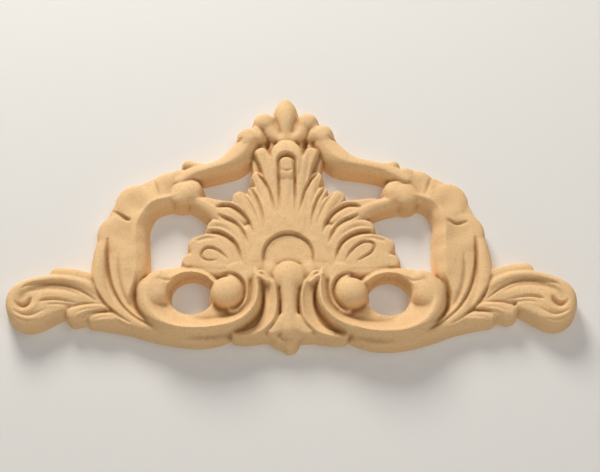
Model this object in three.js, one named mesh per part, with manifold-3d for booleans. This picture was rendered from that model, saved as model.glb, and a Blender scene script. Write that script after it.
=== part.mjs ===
// Carved crest applique for a door head, a mantel or a cabinet: a fluted shell over a bossed stem, set between
// two C-scrolls, two tall lobed flank leaves with arms that run up to a bud, and a rolled leaf tail at each end.
// It is one piece of wood with a flat back, pierced by six openings.
// Millimetres, +X to the right, +Z up, the carving faces -Y, and the back lies in the plane Y = 0.
import * as THREE from "three";
import { mergeVertices } from "three/addons/utils/BufferGeometryUtils.js";
import Module from "manifold-3d";

// Overall sizes
const panelWidth = 300;
const panelHeight = 148;
const reliefDepth = 18;

// The carving is drawn on squared paper laid over the panel. Places and widths below are in its squares,
// measured out from the centre line and up from the middle, and heights are in layers above the back.
const squaresAcross = 300;
const squaresUp = 148;
const layersDeep = 18;
const squareX = panelWidth / squaresAcross;
const squareZ = panelHeight / squaresUp;
const layer = reliefDepth / layersDeep;

// Habits of the carver
const wallDraft = 0.06; // how far a wall spreads for each layer that it drops
const crownLean = 3.8; // how far the crown stands to the left of the foot
const leanReach = [30, 76]; // the lean fades out between these distances from the centre line
const gougeLift = 9; // how high a gouge's own sides run above its floor
const buried = 2; // how far forms are drawn below the back, before the back is sawn flat

const bossRadius = 8.7;
const bossTop = 16.8;
const budRadius = 8.2;
const budTop = 15;
const nicheRadius = 12.4;
const nicheFloor = 8.6;
const openingHalf = [10.7, 9.6]; // half width and half height of the small oval openings inside the scrolls
const groundHeight = 7.5;

// The hand does not cut both sides alike: soft pushes of the drawing, each [side, u, z, reach, du, dz].
const drifts = [
  [1, 118, -34, 26, 0.6, 2.6],
  [1, 84, 14, 26, 0.4, 1],
  [1, 72, 26, 9, 1.2, 1.8],
  [1, 48, 29, 18, 1, 2],
  [1, 57, 14, 10, 3.4, -1.2],
  [1, 54, 6, 10, 0, -2.4],
  [1, 30, 15, 8, 1.8, 0],
  [1, 55, -72, 26, 0, -2.2],
  [1, 76, -14, 13, -1.4, 0],
  [1, 76, -28, 8, -2.4, 0],
  [1, 22, 50, 8, -1, 2],
  [-1, 76, -10, 16, 1.6, 0],
  [-1, 46, -8, 10, -1.8, 0],
  [-1, 57, -18, 8, -1.6, 0],
];

const wasm = await Module();
wasm.setup();

const smooth = (low, high, x) => THREE.MathUtils.smoothstep(x, low, high);

// A point of the squared drawing in the part's own frame. The middle of the work leans a little to the left.
function place(u, z, height, side) {
  const rise = (z + squaresUp / 2) / squaresUp;
  const lean = crownLean * (0.15 + 0.85 * rise) * (1 - smooth(leanReach[0], leanReach[1], Math.abs(u)));
  let [outward, upward] = [u, z];
  for (const [at, pushU, pushZ, reach, du, dz] of drifts) {
    const pull = at === side ? Math.exp(-((u - pushU) ** 2 + (z - pushZ) ** 2) / reach ** 2) : 0;
    outward += du * pull;
    upward += dz * pull;
  }
  return [(side * outward - lean) * squareX, -height * layer, upward * squareZ];
}

// A closed mesh as a solid, turned so that its faces point out.
function solid(points, faces) {
  const geometry = new THREE.BufferGeometry();
  geometry.setAttribute("position", new THREE.Float32BufferAttribute(points.flat(), 3));
  geometry.setIndex(faces.flat());
  const merged = mergeVertices(geometry, 1e-4);
  const at = merged.getAttribute("position");
  const index = Array.from(merged.index.array);
  const corners = [new THREE.Vector3(), new THREE.Vector3(), new THREE.Vector3()];
  let volume = 0;
  for (let i = 0; i < index.length; i += 3) {
    corners.forEach((corner, k) => corner.fromBufferAttribute(at, index[i + k]));
    volume += corners[0].dot(corners[1].cross(corners[2]));
  }
  const turned = volume < 0 ? index.reverse() : index;
  return new wasm.Manifold(
    new wasm.Mesh({ numProp: 3, vertProperties: at.array, triVerts: new Uint32Array(turned) }),
  );
}

// Rows of points, all with the same number of points round a closed section, skinned and capped.
function skin(rows) {
  const count = rows[0].length;
  const points = rows.flat();
  const faces = [];
  for (let i = 0; i + 1 < rows.length; i += 1) {
    for (let j = 0; j < count; j += 1) {
      const [a, b] = [i * count + j, i * count + ((j + 1) % count)];
      faces.push([a, b, b + count], [a, b + count, a + count]);
    }
  }
  for (const [first, flip] of [[0, false], [(rows.length - 1) * count, true]]) {
    const ring = points.slice(first, first + count);
    const middle = points.push([0, 1, 2].map((k) => ring.reduce((sum, p) => sum + p[k], 0) / count)) - 1;
    for (let j = 0; j < count; j += 1) {
      const [a, b] = [first + j, first + ((j + 1) % count)];
      faces.push(flip ? [a, b, middle] : [b, a, middle]);
    }
  }
  return solid(points, faces);
}

// Catmull-Rom through rows of numbers, t from 0 to 1.
function along(rows, t) {
  const spans = rows.length - 1;
  const i = Math.min(Math.floor(t * spans), spans - 1);
  const f = t * spans - i;
  const [p, q, r, s] = [rows[Math.max(i - 1, 0)], rows[i], rows[i + 1], rows[Math.min(i + 2, spans)]];
  return q.map((_, k) => {
    const [v0, v1] = [(r[k] - p[k]) / 2, (s[k] - q[k]) / 2];
    return (
      (2 * q[k] - 2 * r[k] + v0 + v1) * f ** 3 + (-3 * q[k] + 3 * r[k] - 2 * v0 - v1) * f ** 2 + v0 * f + q[k]
    );
  });
}

// Where the rows of a form lie along its line, and how full each one is: a round tip closes in a quarter circle.
function stations(length, half, steps, tip) {
  const start = Math.max(1 - half / length, 0.4);
  const body = tip ? start : 1;
  const rows = [];
  for (let i = 0; i <= steps; i += 1) rows.push([(body * i) / steps, 1]);
  if (tip) {
    for (const turn of [0.75, 1.35]) rows.push([start + (1 - start) * Math.sin(turn), Math.cos(turn)]);
  }
  return rows;
}

// A carved band along a line of rows [u, z, half width, crest height]. Its section swells from the edge height
// to a crest that may stand to one side, and its walls go down to the back.
function band(line, { edge = 6, ridge = 0, full = 2, steps = 6, tip = false, side = 1, levels = [1, 0.7, 0] } = {}) {
  const [leftEdge, rightEdge] = [edge, edge].flat();
  let length = 0;
  for (let i = 1; i < line.length; i += 1) {
    length += Math.hypot(line[i][0] - line[i - 1][0], line[i][1] - line[i - 1][1]);
  }
  const across = [
    ...levels.map((q) => [ridge - q * (1 + ridge), q]),
    ...levels.slice(0, -1).reverse().map((q) => [ridge + q * (1 - ridge), q]),
  ];
  const rows = stations(length, line.at(-1)[2], steps, tip).map(([t, fullness]) => {
    const [u, z, half, crest] = along(line, t);
    const [ahead, behind] = [along(line, Math.min(t + 0.01, 1)), along(line, Math.max(t - 0.01, 0))];
    const [du, dz] = [ahead[0] - behind[0], ahead[1] - behind[1]];
    const run = Math.hypot(du, dz);
    const [nu, nz] = [dz / run, -du / run];
    const width = half * fullness;
    const top = across.map(([s, q]) => {
      const low = s < ridge ? leftEdge : rightEdge;
      const height = low + (crest - low) * Math.sqrt(fullness * (1 - q ** full));
      return place(u + nu * width * s, z + nz * width * s, height, side);
    });
    const ends = [[1, rightEdge], [-1, leftEdge]].map(([s, low]) => {
      const foot = s * (width + wallDraft * (low + buried));
      return place(u + nu * foot, z + nz * foot, -buried, side);
    });
    return [...top, ...ends];
  });
  return skin(rows);
}

// The line of a leaf or a gouge stroke from its root to its tip, bowed to one side by a share of its length.
function bowed([u0, z0], [u1, z1], bow, halves, crests) {
  const [du, dz] = [u1 - u0, z1 - z0];
  return [0, 0.33, 0.67, 1].map((t) => {
    const out = 4 * t * (1 - t) * bow;
    const half = along(halves.map((v) => [v]), t)[0];
    const crest = along(crests.map((v) => [v]), t)[0];
    return [u0 + du * t + dz * out, z0 + dz * t - du * out, half, crest];
  });
}

// A round boss: a dome on a short drum, both standing on the back. A low one is a flat cushion.
function boss(u, z, radius, top, side, rim = 6, turns = 12) {
  const rings = top - rim < radius / 4 ? [[0.6, 1], [1, 0]] : [[0.02, 1], [0.5, 0.87], [0.87, 0.5], [1, 0]];
  const rows = rings.map(([reach, lift]) => ring(reach * radius, rim + (top - rim) * lift));
  rows.push(ring(radius + wallDraft * (rim + buried), -buried));
  function ring(r, height) {
    return Array.from({ length: turns }, (_, k) => {
      const turn = (2 * Math.PI * k) / turns;
      return place(u + r * Math.cos(turn), z + r * Math.sin(turn), height, side);
    });
  }
  return skin(rows);
}

// The cut of a gouge along a bowed stroke: a V that is deepest at the floor height and open above.
function gouge(line, side) {
  const steps = 4;
  const rows = Array.from({ length: steps + 1 }, (_, i) => {
    const t = i / steps;
    const [u, z, half, floor] = along(line, t);
    const [ahead, behind] = [along(line, Math.min(t + 0.01, 1)), along(line, Math.max(t - 0.01, 0))];
    const [du, dz] = [ahead[0] - behind[0], ahead[1] - behind[1]];
    const run = Math.hypot(du, dz);
    const [nu, nz] = [dz / run, -du / run];
    const end = i === 0 || i === steps ? 0.3 : 1;
    return [[0, 0], [1, 2.4], [1, gougeLift], [-1, gougeLift], [-1, 2.4]].map(([s, lift]) =>
      place(u + nu * half * end * s, z + nz * half * end * s, floor + lift, side),
    );
  });
  return skin(rows);
}

// Ground: the flat, low wood between the raised forms of one half, laid out as broad bands of one height.
function ground(side) {
  const lines = [
    [[0, -34, 10], [16, -47, 20], [34, -46, 19], [62, -47, 18.5]],
    [[0, -61, 7], [18, -60.5, 6.6], [30, -60.5, 6]],
    [[24, -60, 4], [47, -62, 6], [72, -56, 9], [96, -50, 7]],
    [[0, -4, 20], [20, -11, 18], [36, -16.5, 13.5], [47, -20, 8]],
    [[10, 4, 7], [13, 20, 6], [13, 36, 8.2], [12, 53.2, 7.8]],
  ];
  const flat = { edge: groundHeight, levels: [1, 0], steps: 3, side };
  return lines.map((line) => band(line.map((row) => [...row, groundHeight]), flat));
}

// Flank: a tall leaf that rises from the foot, turns over at the shoulder and ends in a knob over the bar.
function flank(side) {
  const body = band(
    [
      [87, -54, 5, 7.5], [89, -46, 7.5, 9], [87.5, -30, 11.5, 11], [88.6, -14, 12.5, 12], [87.6, -3, 11.3, 12.5],
      [83.5, 7, 10.6, 12.8], [76.5, 12.8, 9.4, 12.8], [68.5, 16, 9.6, 12.8], [60, 17, 9, 12.5], [54, 16.6, 6.4, 12],
    ],
    { ridge: -0.4, edge: [4, 8.5], steps: 12, full: 2.4, side },
  );
  const lobes = [[91.6, -9.5, 12.3], [84.2, 8.8, 11.5], [66.5, 17.6, 10.6], [61, 23.4, 6.2]].map(([u, z, radius]) =>
    boss(u, z, radius, 10.4, side, 8.6, 11),
  );
  const spur = band(
    [[97.4, -6, 4.6, 9], [101.2, -24, 5, 10.4], [101.2, -38, 5, 10.4], [96, -50, 3.4, 8.6]],
    { steps: 5, side },
  );
  const knob = boss(56.5, 14.6, 5.6, 13.4, side, 9, 10);
  return [body, ...lobes, spur, knob];
}

// Tail: a rolled leaf at the end of the panel, its rim curling round a hollow eye.
function tail(side) {
  const body = band(
    [[96, -45, 8, 7], [108, -41.6, 10.6, 7], [119, -41.8, 10.4, 7], [131, -47, 12.4, 7], [149.6, -50.4, 13, 7]],
    { edge: 7, steps: 5, tip: true, levels: [1, 0], side },
  );
  const rim = band(
    [
      [99, -43.5, 2.2, 9], [107, -38, 2.8, 10], [117, -35.2, 3, 10.8], [127, -35.4, 3.2, 11.2], [137, -38.4, 3.4, 11.5],
      [144, -42.6, 3.6, 12], [146, -50.5, 3.4, 12.2], [142, -57.2, 3.4, 12.2], [135, -57.8, 3.2, 11.5],
      [127, -54.3, 2.8, 10.8], [118, -51.4, 2.6, 10.2], [104, -49.8, 2.2, 9],
    ],
    { steps: 16, side },
  );
  const leaf = band(bowed([101, -37.5], [128, -32.6], -0.03, [4, 4.6, 4.2], [9, 10, 9.5]), {
    steps: 4, tip: true, side,
  });
  const rib = band(
    [[97, -48.5, 2.2, 8.5], [108, -43.4, 3, 9.8], [119, -41.8, 3.4, 10.4], [130, -43, 3.2, 10.4], [139, -47.5, 2.6, 9.4]],
    { steps: 5, tip: true, side },
  );
  const leaves = [
    [[95, -49], [116.8, -56], 0.05, [2.5, 4.2, 4.5], [8, 9.8, 9.4]],
    [[88, -54], [105.8, -58.8], 0.03, [2.5, 3.6, 3.8], [7, 8.8, 8.6]],
  ].map((line) => band(bowed(...line), { edge: 5, steps: 2, tip: true, side }));
  return [body, rim, leaf, rib, ...leaves];
}

// C-scroll: a band that starts behind the boss, runs round the small opening and dies into the shell.
function scroll(side) {
  const coil = band(
    [
      [21.4, -24, 4.6, 10.8], [19.6, -34, 5, 13.2], [18.8, -43.4, 5.2, 14.8], [20.6, -51.4, 5.4, 15.8],
      [27, -58, 5.8, 16.6], [38, -61.4, 6, 17], [49, -61.8, 6.4, 16.8], [59.4, -59.8, 8.4, 16],
      [67.4, -54, 10, 14.6], [70.6, -46, 10.6, 13.4], [69, -38.8, 9, 12.4], [63, -34.4, 5, 12],
      [56, -31.4, 3.6, 12], [48, -30.6, 3.8, 12], [39, -30.8, 4.4, 12],
    ],
    { ridge: 0.45, full: 1.8, edge: [6, 7], steps: 20, side, levels: [1, 0.6, 0] },
  );
  const keel = band(
    [
      [97, -58.4, 2.8, 7], [82, -60, 3, 8], [70, -63.4, 3, 9], [58, -66, 3, 10],
      [47, -67.2, 3, 10], [37, -66, 2.6, 9], [29, -63.8, 2, 8],
    ],
    { edge: 4, steps: 6, side },
  );
  const inner = band(
    [
      [14.4, -36.5, 2.2, 10.5], [10.8, -42, 3.8, 12], [10.2, -50, 4.8, 12.8], [12.2, -58, 4.4, 12.5],
      [17.5, -63, 3.6, 12], [24, -64.8, 3, 11], [30.4, -64.6, 2.6, 10],
    ],
    { ridge: 0.4, steps: 8, tip: true, side },
  );
  return [coil, keel, inner];
}

const eye = (side) => [boss(32.5, -44, bossRadius, bossTop, side, 9)];

// Half of the shell: petals that fan out from the heart, each from its root to its tip with a bow.
function petals(side) {
  return [
    [[7.5, 2], [13.6, 41.8], -0.05, [2.4, 3.8, 3.6], [10, 10.8, 11.4]],
    [[10.5, 0], [18, 27], -0.06, [2.5, 3.6, 3], [10, 10.8, 10.4]],
    [[13.5, -2], [20.8, 18.2], -0.07, [2.4, 3.3, 2.5], [10, 10.6, 10]],
    [[16.5, -5], [29, 14.8], -0.08, [3, 4.7, 3.7], [10, 10.8, 10]],
    [[24, 1.5], [53, 11.2], -0.02, [6.2, 4.8, 4], [9, 9.4, 9.6]],
    [[20, -10.5], [55, 10], -0.07, [3.6, 6, 4.2], [10, 11, 10.5]],
    [[23, -17], [46.4, -6], -0.14, [3.4, 5.4, 4.4], [10, 11, 10.4]],
    [[25, -23], [56, -18.6], -0.2, [3.4, 5.2, 4.5], [10, 10.8, 10.2]],
    [[30, -27], [58.4, -25.6], -0.03, [4.4, 4.4, 3.8], [9.5, 9.8, 9]],
  ].map((petal) => band(bowed(...petal), { edge: 7, full: 3, steps: 3, tip: true, side }));
}

// The shell's middle, on the centre line: the heart, the hood and the finger in it.
function shellMiddle() {
  const heart = band([[-25, -20, 9, 10], [-10, -13, 15, 11], [10, -13, 15, 11], [25, -20, 9, 10]], {
    full: 5, edge: 7, steps: 5,
  });
  const hood = band(
    [
      [-8.2, -4, 2.6, 10.8], [-8.6, 12, 3, 11.8], [-9.2, 28, 3.6, 12.6], [-6.6, 38.6, 4, 13.2], [0, 43.6, 4.2, 13.4],
      [6.6, 38.6, 4, 13.2], [9.2, 28, 3.6, 12.6], [8.6, 12, 3, 11.8], [8.2, -4, 2.6, 10.8],
    ],
    { edge: 7, steps: 12 },
  );
  const finger = band([[0, -8, 2.4, 10], [0, 10, 3.2, 12], [0, 24, 3.5, 13.2], [0, 35, 3.6, 13.6]], {
    edge: 8, steps: 4, tip: true,
  });
  const bed = band([[0, -4, 8, 8.4], [0, 42, 10, 8.4]], { edge: 8.4, levels: [1, 0], steps: 1 });
  return [heart, hood, finger, bed];
}

// The stem below the shell: a waist under the niche's bud, and a drop at the foot.
function stem() {
  const shaft = band([[0, -36, 7.6, 14.4], [0, -44, 5.2, 13.6], [0, -52, 4.2, 12.6], [0, -59, 6, 11.4], [0, -66.4, 11.8, 9.4]], {
    edge: 6, steps: 6,
  });
  const drop = band([[0, -56, 5, 10.8], [0, -64, 7.2, 11.4], [0, -74.4, 7, 7.4]], { edge: 3, steps: 3, tip: true });
  const web = band([[-11.4, -62, 2.6, 8.6], [-6, -68, 2.8, 8.4], [-0.5, -71.4, 2.4, 7.4]], { edge: 4, steps: 2 });
  return [shaft, drop, web];
}

// Crown: the arm that comes up from the flank, its curled end, and a lobe beside the bud.
function crown(side) {
  const arm = band(
    [
      [60, 21.5, 5, 11.5], [52, 26, 5, 12], [44, 28, 4.6, 12.6], [36, 30.6, 5.2, 13], [29, 34.8, 6.4, 13],
      [23, 41, 6.8, 12.8], [20.8, 48.6, 6.4, 12.5],
    ],
    { edge: [4, 7], ridge: -0.1, steps: 8, side },
  );
  const knob = boss(21.4, 49.2, 6.4, 13, side, 6, 12);
  const bump = boss(56, side < 0 ? 31 : 28.4, 4.4, 9.5, side, 6, 8);
  const lobe = band(bowed([5.6, 47], [13, 65], 0.05, [5, 6.2, 6.4], [10, 12, 12]), {
    edge: 5, steps: 3, tip: true, side,
  });
  return [arm, knob, bump, lobe];
}

function crownBud() {
  return band([[0, 44, 4, 9.5], [0, 55, 5.4, 12.5], [0, 65, 6.9, 12.8], [0, 75, 4.8, 11]], {
    edge: 5, steps: 4, tip: true,
  });
}

// Gouge strokes: between the petals, round the tongue of the lowest one, and down the flank and the keel.
function strokes(side) {
  return [
    [[36, 6.4], [19.5, -10], -0.2, [1.6, 1.7, 1], [8.2, 8.2, 9.2]],
    [[47, -24.5], [32.5, -24.5], -0.36, [1.4, 1.5, 1.1], [7.6, 7.6, 8.6]],
    [[98.5, -19], [91.5, -53], -0.07, [1.5, 1.4, 1], [7.4, 7.2, 6.4]],
  ].map((stroke) => gouge(bowed(...stroke), side));
}

// An oval well through or into the wood, from the lower height up.
function well(u, z, [across, up], floor, side) {
  const turns = 20;
  const ring = (wider, height) =>
    Array.from({ length: turns }, (_, k) => {
      const turn = (2 * Math.PI * k) / turns;
      return place(u + (across + wider) * Math.cos(turn), z + (up + wider) * Math.sin(turn), height, side);
    });
  return skin([ring(0, floor), ring(2 * wallDraft * gougeLift, floor + 2 * gougeLift)]);
}

const both = (make) => [...make(-1), ...make(1)];
const unite = (solids) => wasm.Manifold.union(solids);

// The stem, the crown and the bosses join after the gouging, so that no stroke bites into them.
const field = unite([...both(ground), ...shellMiddle(), ...both(petals), ...both(flank), ...both(tail), ...both(scroll)]);
const cuts = unite([
  well(0, -26.4, [nicheRadius, nicheRadius], nicheFloor, 1),
  ...both((side) => [well(51.6, -44, openingHalf, -2 * buried, side)]),
  ...both(strokes),
]);
const bud = boss(0, -33.4, budRadius, budTop, 1);
const raised = unite([...both(eye), ...stem(), bud, ...both(crown), crownBud()]);

// Everything behind the back plane is sawn off.
const slab = new THREE.BoxGeometry(2 * panelWidth, 10 * buried, 2 * panelHeight).translate(0, 5 * buried, 0);
slab.deleteAttribute("normal");
slab.deleteAttribute("uv");
const saw = mergeVertices(slab);
const sawn = new wasm.Manifold(
  new wasm.Mesh({
    numProp: 3,
    vertProperties: saw.getAttribute("position").array,
    triVerts: new Uint32Array(saw.index.array),
  }),
);
const work = unite([field.subtract(cuts), raised]).subtract(sawn);

const made = work.getMesh();
const geometry = new THREE.BufferGeometry();
geometry.setAttribute("position", new THREE.BufferAttribute(made.vertProperties, 3));
geometry.setIndex(new THREE.BufferAttribute(made.triVerts, 1));
geometry.computeVertexNormals();

const wood = new THREE.MeshStandardMaterial({ color: 0xe3bd8c, roughness: 0.75, metalness: 0 });
const applique = new THREE.Mesh(geometry, wood);
applique.name = "crest_applique";

const root = new THREE.Group();
root.add(applique);
export default root;
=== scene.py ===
import math

import bpy
import numpy as np
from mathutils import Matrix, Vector


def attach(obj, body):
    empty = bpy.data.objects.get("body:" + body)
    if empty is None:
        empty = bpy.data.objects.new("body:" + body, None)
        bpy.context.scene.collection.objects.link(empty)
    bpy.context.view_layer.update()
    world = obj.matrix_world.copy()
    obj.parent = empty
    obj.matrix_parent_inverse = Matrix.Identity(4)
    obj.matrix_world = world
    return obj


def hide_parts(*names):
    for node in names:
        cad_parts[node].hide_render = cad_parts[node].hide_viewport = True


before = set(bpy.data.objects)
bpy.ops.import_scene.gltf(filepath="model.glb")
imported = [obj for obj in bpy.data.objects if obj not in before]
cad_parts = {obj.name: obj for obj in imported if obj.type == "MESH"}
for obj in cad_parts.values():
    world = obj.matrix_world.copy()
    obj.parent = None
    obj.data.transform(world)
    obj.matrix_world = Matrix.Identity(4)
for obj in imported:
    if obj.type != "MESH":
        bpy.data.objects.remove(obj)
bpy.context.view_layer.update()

# The drawing of the carving is in millimetres: u runs out from the middle, z up, and heights rise from the flat back
mm = 0.001
left, right = -1, 1
bothSides = (left, right)

carving = {
    "width": 304,  # the blank that the grid covers
    "height": 154,
    "cell": 0.34,  # grid spacing for the finished piece
    "roughCell": 0.6,
    "wallSlope": 8,  # how many mm a wall drops for each mm that it spreads
    "belowBack": 3,  # how deep the forms are drawn below the back before it is sawn flat
    "wallReach": 1.6,  # how far past a form's edge its wall is drawn
    "ground": 7.5,  # height of the low wood that joins the forms
    "blend": 0.7,  # how softly one form runs into the next
    "softEdge": 0.29,  # sanding of every edge
    "handWaver": 0.22,  # unevenness left by the hand
    "waverSizes": (17, 11, 7, 4.5),
    "wallRubs": 12,  # how often the steep walls are rubbed over
    "mostTriangles": 190000,
}

drawing = {
    "crownLean": 3.8,  # how far the crown stands to the left of the foot
    "leanFades": (30, 76),  # the lean fades out between these distances from the middle
    "foot": -74,
    "top": 74,
}

# The two sides were not cut quite alike: side, u, z, reach, push in u, push in z
drifts = [
    (1, 118, -34, 26, 0.6, 2.6),
    (1, 84, 14, 26, 0.4, 1.0),
    (1, 72, 26, 9, 1.2, 1.8),
    (1, 48, 29, 18, 1, 2),
    (1, 57, 14, 10, 3.4, -1.2),
    (1, 54, 6, 10, 0, -2.4),
    (1, 30, 15, 8, 1.8, 0),
    (1, 55, -72, 26, 0, -2.2),
    (1, 76, -14, 13, -1.4, 0),
    (1, 76, -28, 8, -2.4, 0),
    (1, 22, 50, 8, -1, 2),
    (-1, 76, -10, 16, 1.6, 0),
    (-1, 46, -8, 10, -1.8, 0),
    (-1, 57, -18, 8, -1.6, 0),
]


def deselectAll():
    for item in bpy.context.selected_objects:
        item.select_set(False)
    bpy.context.view_layer.objects.active = None


def easeBetween(low, high, value):
    t = np.clip((value - low) / (high - low), 0, 1)
    return t * t * (3 - 2 * t)


# From the squared drawing to the panel: the middle leans, and each side is pushed a little
def ontoPanel(u, z, side):
    rise = (z - drawing["foot"]) / (drawing["top"] - drawing["foot"])
    fade = 1 - easeBetween(*drawing["leanFades"], np.abs(u))
    lean = drawing["crownLean"] * (0.15 + 0.85 * rise) * fade
    outward, upward = u * 1.0, z * 1.0
    for driftSide, pushU, pushZ, reach, du, dz in drifts:
        if driftSide == side:
            pull = np.exp(-((u - pushU) ** 2 + (z - pushZ) ** 2) / reach**2)
            outward = outward + du * pull
            upward = upward + dz * pull
    return side * outward - lean, upward


# A smooth curve through rows of numbers
def throughRows(rows, count):
    rows = np.array(rows, float)
    spans = len(rows) - 1
    t = np.linspace(0, spans, count)
    i = np.minimum(t.astype(int), spans - 1)
    f = (t - i)[:, None]
    before, here = rows[np.maximum(i - 1, 0)], rows[i]
    there, after = rows[i + 1], rows[np.minimum(i + 2, spans)]
    leave, arrive = (there - before) / 2, (after - here) / 2
    cubic = 2 * here - 2 * there + leave + arrive
    square = -3 * here + 3 * there - 2 * leave - arrive
    return cubic * f**3 + square * f**2 + leave * f + here


# The blank: a flat grid, whose points are then raised to the carved height
def addBlank():
    cell = carving["cell"]
    across = round(carving["width"] / cell)
    up = round(carving["height"] / cell)
    deselectAll()
    bpy.ops.mesh.primitive_grid_add(x_subdivisions=across, y_subdivisions=up, size=1)
    blank = bpy.context.active_object
    blank.name = "carvedApplique"
    spots = np.zeros(len(blank.data.vertices) * 3)
    blank.data.vertices.foreach_get("co", spots)
    spots = spots.reshape(-1, 3)
    columns = len(np.unique(np.round(spots[:, 0], 6)))
    x = spots[:, 0].reshape(-1, columns) * carving["width"]
    z = spots[:, 1].reshape(-1, columns) * carving["height"]
    return blank, x, z


blank, gridX, gridZ = addBlank()
cellX = gridX[0, 1] - gridX[0, 0]
cellZ = gridZ[1, 0] - gridZ[0, 0]
height = np.full(gridX.shape, -float(carving["belowBack"]))
print(f"Blank laid out: {gridX.shape[1]} by {gridX.shape[0]} points")


def windowRound(x0, x1, z0, z1):
    columns = slice(max(int((x0 - gridX[0, 0]) / cellX), 0), max(int((x1 - gridX[0, 0]) / cellX) + 2, 0))
    rows = slice(max(int((z0 - gridZ[0, 0]) / cellZ), 0), max(int((z1 - gridZ[0, 0]) / cellZ) + 2, 0))
    return rows, columns


# For every grid point near a line: how far off it lies (right of the travel counts as plus) and the line's
# values beside it. The line's columns are x, z and then the values.
def besideLine(line, reach):
    window = windowRound(
        line[:, 0].min() - reach, line[:, 0].max() + reach, line[:, 1].min() - reach, line[:, 1].max() + reach
    )
    x, z = gridX[window], gridZ[window]
    nearest = np.full(x.shape, 1e6)
    offset = np.full(x.shape, 1e6)
    place = np.zeros(x.shape)
    top, side = window[0].start, window[1].start
    for i in range(len(line) - 1):
        (ax, az), (bx, bz) = line[i, :2], line[i + 1, :2]
        near = windowRound(min(ax, bx) - reach, max(ax, bx) + reach, min(az, bz) - reach, max(az, bz) + reach)
        part = (slice(near[0].start - top, near[0].stop - top), slice(near[1].start - side, near[1].stop - side))
        dx, dz = bx - ax, bz - az
        length = math.hypot(dx, dz)
        if length < 1e-9:
            continue
        px, pz = x[part] - ax, z[part] - az
        t = np.clip((px * dx + pz * dz) / length**2, 0, 1)
        ox, oz = px - t * dx, pz - t * dz
        gap = np.hypot(ox, oz)
        closer = gap < nearest[part]
        turn = np.where(px * dz - pz * dx < 0, -1.0, 1.0)
        np.copyto(nearest[part], gap, where=closer)
        np.copyto(offset[part], gap * turn, where=closer)
        np.copyto(place[part], i + t, where=closer)
    i = np.minimum(place.astype(int), len(line) - 2)
    f = place - i
    values = [line[i, k] * (1 - f) + line[i + 1, k] * f for k in range(2, line.shape[1])]
    ends = (place <= 0) | (place >= len(line) - 1)
    return window, offset, nearest, values, ends


# How a section falls from its crest, where q is 0, to its edge, where q is 1
def rounded(full=2.0):
    return lambda q: np.sqrt(np.maximum(1 - q**full, 0))


def sloping(power=1.0):
    return lambda q: np.maximum(1 - q**power, 0)


def blended(low, high, soft):
    if soft <= 0:
        return np.maximum(low, high)
    return np.maximum(low, high) + np.maximum(soft - np.abs(low - high), 0) ** 2 / (4 * soft)


def raiseTo(window, form, soft):
    height[window] = blended(height[window], form, soft)


# A raised form along a line of rows: u, z, half width, crest height. Its crest stands off the middle by "ridge",
# its sides end at "edge", and a tip is drawn in to a round point.
def raised(rows, side=right, edge=6, ridge=0.0, leftSide=None, rightSide=None, full=2.0, tip=False, soft=None):
    leftEdge, rightEdge = (edge, edge) if np.isscalar(edge) else edge
    leftSide = leftSide or rounded(full)
    rightSide = rightSide or rounded(full)
    line = throughRows(rows, 14 * len(rows))
    run = np.concatenate([[0], np.cumsum(np.hypot(*np.diff(line[:, :2], axis=0).T))])
    fullness = np.ones(len(line))
    if tip:
        closing = max(run[-1] - rows[-1][2], 0.4 * run[-1])
        t = np.clip((run - closing) / (run[-1] - closing), 0, 1)
        fullness = np.sqrt(np.maximum(1 - t * t, 0.0004))
    x, z = ontoPanel(line[:, 0], line[:, 1], side)
    line = np.column_stack([x, z, line[:, 2] * fullness, line[:, 3], np.sqrt(fullness)])
    window, offset, gap, (half, crest, swell), ends = besideLine(line, line[:, 2].max() + carving["wallReach"])
    offset = offset * side
    half = np.maximum(half, 0.05)
    s = offset / half
    onLeft = s < ridge
    q = np.where(onLeft, (ridge - s) / (1 + ridge), (s - ridge) / (1 - ridge))
    q = np.clip(q, 0, 1)
    low = np.where(onLeft, leftEdge, rightEdge)
    share = np.where(onLeft, leftSide(q), rightSide(q))
    outside = np.maximum(gap - half, 0)
    form = low + (crest - low) * swell * share - outside * carving["wallSlope"]
    form = np.where(gap > half + carving["wallReach"], -carving["belowBack"], form)
    raiseTo(window, form, carving["blend"] if soft is None else soft)


# A groove along rows of u, z, half width, depth. Its deepest line stands to one side by "lean": at -1 the left
# wall is upright, at 1 the right one, and at 0 both slope alike.
def grooved(rows, side=right, sharp=1.4, lean=0.0):
    line = throughRows(rows, 14 * len(rows))
    x, z = ontoPanel(line[:, 0], line[:, 1], side)
    line = np.column_stack([x, z, line[:, 2], line[:, 3]])
    window, offset, gap, (half, depth), ends = besideLine(line, line[:, 2].max() + 0.5)
    offset = offset * side
    half = np.maximum(half, 0.05)
    s = offset / half
    leftReach, rightReach = 1 + min(lean, 0) * 0.75, 1 - max(lean, 0) * 0.75
    q = np.where(s < 0, -s / leftReach, s / rightReach)
    q = np.where(ends, gap / half, q)
    height[window] -= depth * np.maximum(1 - q, 0) ** sharp * np.where(q < 1, 1, 0)


# A dome on a short drum
def domed(u, z, radius, top, side=right, rim=6, full=2.0, soft=None):
    x, zz = ontoPanel(np.array([float(u)]), np.array([float(z)]), side)
    x, zz = float(x[0]), float(zz[0])
    window = windowRound(x - radius - 2, x + radius + 2, zz - radius - 2, zz + radius + 2)
    gap = np.hypot(gridX[window] - x, gridZ[window] - zz)
    q = np.clip(gap / radius, 0, 1)
    form = rim + (top - rim) * rounded(full)(q) - np.maximum(gap - radius, 0) * carving["wallSlope"]
    form = np.where(gap > radius + carving["wallReach"], -carving["belowBack"], form)
    raiseTo(window, form, carving["blend"] if soft is None else soft)


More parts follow.
